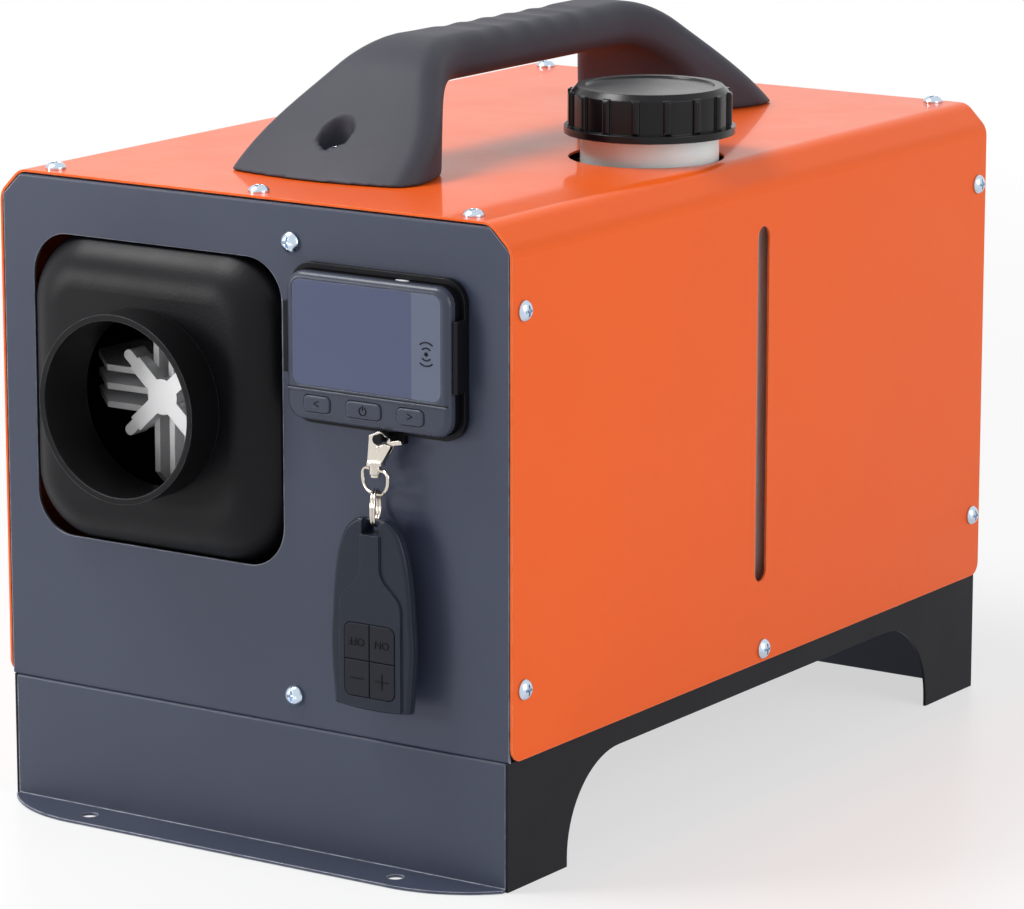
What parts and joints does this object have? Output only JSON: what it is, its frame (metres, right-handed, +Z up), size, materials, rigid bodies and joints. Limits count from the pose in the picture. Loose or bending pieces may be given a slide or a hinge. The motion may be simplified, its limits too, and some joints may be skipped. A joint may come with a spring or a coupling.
{
  "type": "diesel air heater",
  "caption": "Portable air heater in a folded sheet case with a carrying handle, filler cap, round hot-air outlet, front controller and hanging remote fob.",
  "frame": {"origin": "on the floor, midway between the four bolting holes of the base", "axes": "+X to the right seen from the outlet side, +Y to the back, away from the outlet, +Z up"},
  "size_m": [0.2506, 0.413, 0.3075],
  "materials": {
    "painted_orange": "glossy powder coat",
    "painted_slate": "satin powder coat",
    "painted_black": "satin powder coat",
    "zinc_steel": "bright zinc plate",
    "sheet_steel": "galvanised sheet",
    "handle_plastic": "fine grained",
    "black_plastic": "satin",
    "cap_plastic": "semi gloss",
    "tank_plastic": "translucent, blow moulded",
    "rubber_black": "matt",
    "fibre_gasket": "matt fibre",
    "cast_aluminium": "as cast, machined face",
    "tube_steel": "stainless",
    "green_board": "solder mask",
    "lens_plastic": "polished",
    "nickel": "nickel plate",
    "fob_plastic": "satin"
  },
  "bodies": {
    "case": {"cover": "painted_orange", "front_panel": "painted_slate", "rear_panel": "painted_slate", "base_channel": "painted_slate", "base_side_left": "painted_black", "base_side_right": "painted_black", "divider_plate": "sheet_steel", "cover_screws": "zinc_steel", "panel_screws": "zinc_steel", "handle": "handle_plastic", "handle_screws": "zinc_steel", "handle_nuts": "zinc_steel", "fuel_tank": "tank_plastic", "fuel_pickup": "tube_steel", "fuel_hose_tank": "rubber_black", "fuel_filter": "tank_plastic", "fuel_hose_filter": "rubber_black", "fuel_pump": "tube_steel", "pump_mount": "rubber_black", "fuel_hose_heater": "rubber_black", "heater_bracket": "sheet_steel", "mount_gasket": "fibre_gasket", "heater_nuts": "zinc_steel", "exhaust_stub": "tube_steel", "combustion_air_stub": "black_plastic", "heat_exchanger": "cast_aluminium", "burner_tube": "tube_steel", "glow_plug": "tube_steel", "fan_housing": "cast_aluminium", "fan_motor": "tube_steel", "case_upper": "black_plastic", "case_lower": "black_plastic", "control_board": "green_board", "outlet_hood": "black_plastic", "outlet_nozzle": "black_plastic", "intake_guard": "black_plastic", "power_inlet": "black_plastic", "controller_cradle": "black_plastic", "controller_rear_shell": "black_plastic", "controller_front_shell": "black_plastic", "display_lens": "lens_plastic"},
    "cap_seal": {"cap_gasket": "rubber_black"},
    "cap": {"filler_cap": "cap_plastic"},
    "rotor": {"motor_shaft": "tube_steel", "hot_air_fan": "black_plastic", "combustion_fan": "cast_aluminium"},
    "plunger": {"pump_plunger": "tube_steel"},
    "key_left": {"controller_button_left": "black_plastic"},
    "key_power": {"controller_button_power": "black_plastic"},
    "key_right": {"controller_button_right": "black_plastic"},
    "hook": {"snap_hook": "nickel"},
    "lever": {"hook_lever": "nickel"},
    "swivel": {"swivel_ring": "nickel"},
    "ring": {"split_ring": "nickel"},
    "fob": {"fob_front_shell": "fob_plastic", "fob_rear_shell": "fob_plastic"},
    "fob_off": {"fob_button_off": "rubber_black"},
    "fob_on": {"fob_button_on": "rubber_black"},
    "fob_minus": {"fob_button_minus": "rubber_black"},
    "fob_plus": {"fob_button_plus": "rubber_black"}
  },
  "joints": [
    {"name": "cap_lift", "type": "slide", "parent": "case", "child": "cap_seal", "axis": [0, 0, 1], "range_m": [0, 0.0061]},
    {"name": "cap_turn", "type": "hinge", "parent": "cap_seal", "child": "cap", "pos_m": [0.078, -0.018, 0.28], "axis": [0, 0, 1], "range_deg": [0, 540]},
    {"name": "rotor_spin", "type": "hinge", "parent": "case", "child": "rotor", "pos_m": [-0.045, 0.07, 0.1735], "axis": [0, 1, 0], "continuous": true},
    {"name": "plunger_stroke", "type": "slide", "parent": "case", "child": "plunger", "axis": [0, 1, 0], "range_m": [0, 0.002], "stiffness_N_per_m": 400},
    {"name": "key_left_press", "type": "slide", "parent": "case", "child": "key_left", "axis": [0, 1, 0], "range_m": [0, 0.0006], "stiffness_N_per_m": 800},
    {"name": "key_power_press", "type": "slide", "parent": "case", "child": "key_power", "axis": [0, 1, 0], "range_m": [0, 0.0006], "stiffness_N_per_m": 800},
    {"name": "key_right_press", "type": "slide", "parent": "case", "child": "key_right", "axis": [0, 1, 0], "range_m": [0, 0.0006], "stiffness_N_per_m": 800},
    {"name": "hook_swing", "type": "hinge", "parent": "case", "child": "hook", "pos_m": [0.0689, -0.192, 0.1729], "axis": [0, 1, 0], "range_deg": [-20, 20]},
    {"name": "lever_open", "type": "hinge", "parent": "hook", "child": "lever", "pos_m": [0.0681, -0.192, 0.1689], "axis": [0, 1, 0], "range_deg": [0, 12], "stiffness_Nm_per_rad": 0.02, "springref_deg": -5.73},
    {"name": "swivel_turn", "type": "hinge", "parent": "hook", "child": "swivel", "pos_m": [0.0659, -0.192, 0.1607], "axis": [0, 0, 1], "range_deg": [-15, 15]},
    {"name": "ring_swing", "type": "hinge", "parent": "swivel", "child": "ring", "pos_m": [0.0659, -0.192, 0.151], "axis": [-0.9613, 0.2756, 0], "range_deg": [0, 45]},
    {"name": "fob_swing", "type": "hinge", "parent": "ring", "child": "fob", "pos_m": [0.0659, -0.192, 0.1404], "axis": [-1, 0, 0], "range_deg": [0, 40]},
    {"name": "fob_off_press", "type": "slide", "parent": "fob", "child": "fob_off", "axis": [0, 1, 0], "range_m": [0, 0.0002], "stiffness_N_per_m": 500},
    {"name": "fob_on_press", "type": "slide", "parent": "fob", "child": "fob_on", "axis": [0, 1, 0], "range_m": [0, 0.0002], "stiffness_N_per_m": 500},
    {"name": "fob_minus_press", "type": "slide", "parent": "fob", "child": "fob_minus", "axis": [0, 1, 0], "range_m": [0, 0.0002], "stiffness_N_per_m": 500},
    {"name": "fob_plus_press", "type": "slide", "parent": "fob", "child": "fob_plus", "axis": [0, 1, 0], "range_m": [0, 0.0002], "stiffness_N_per_m": 500}
  ],
  "couplings": [
    {"joint": "cap_lift", "follows": "cap_turn", "m_per_rad": 0.00063662}
  ]
}
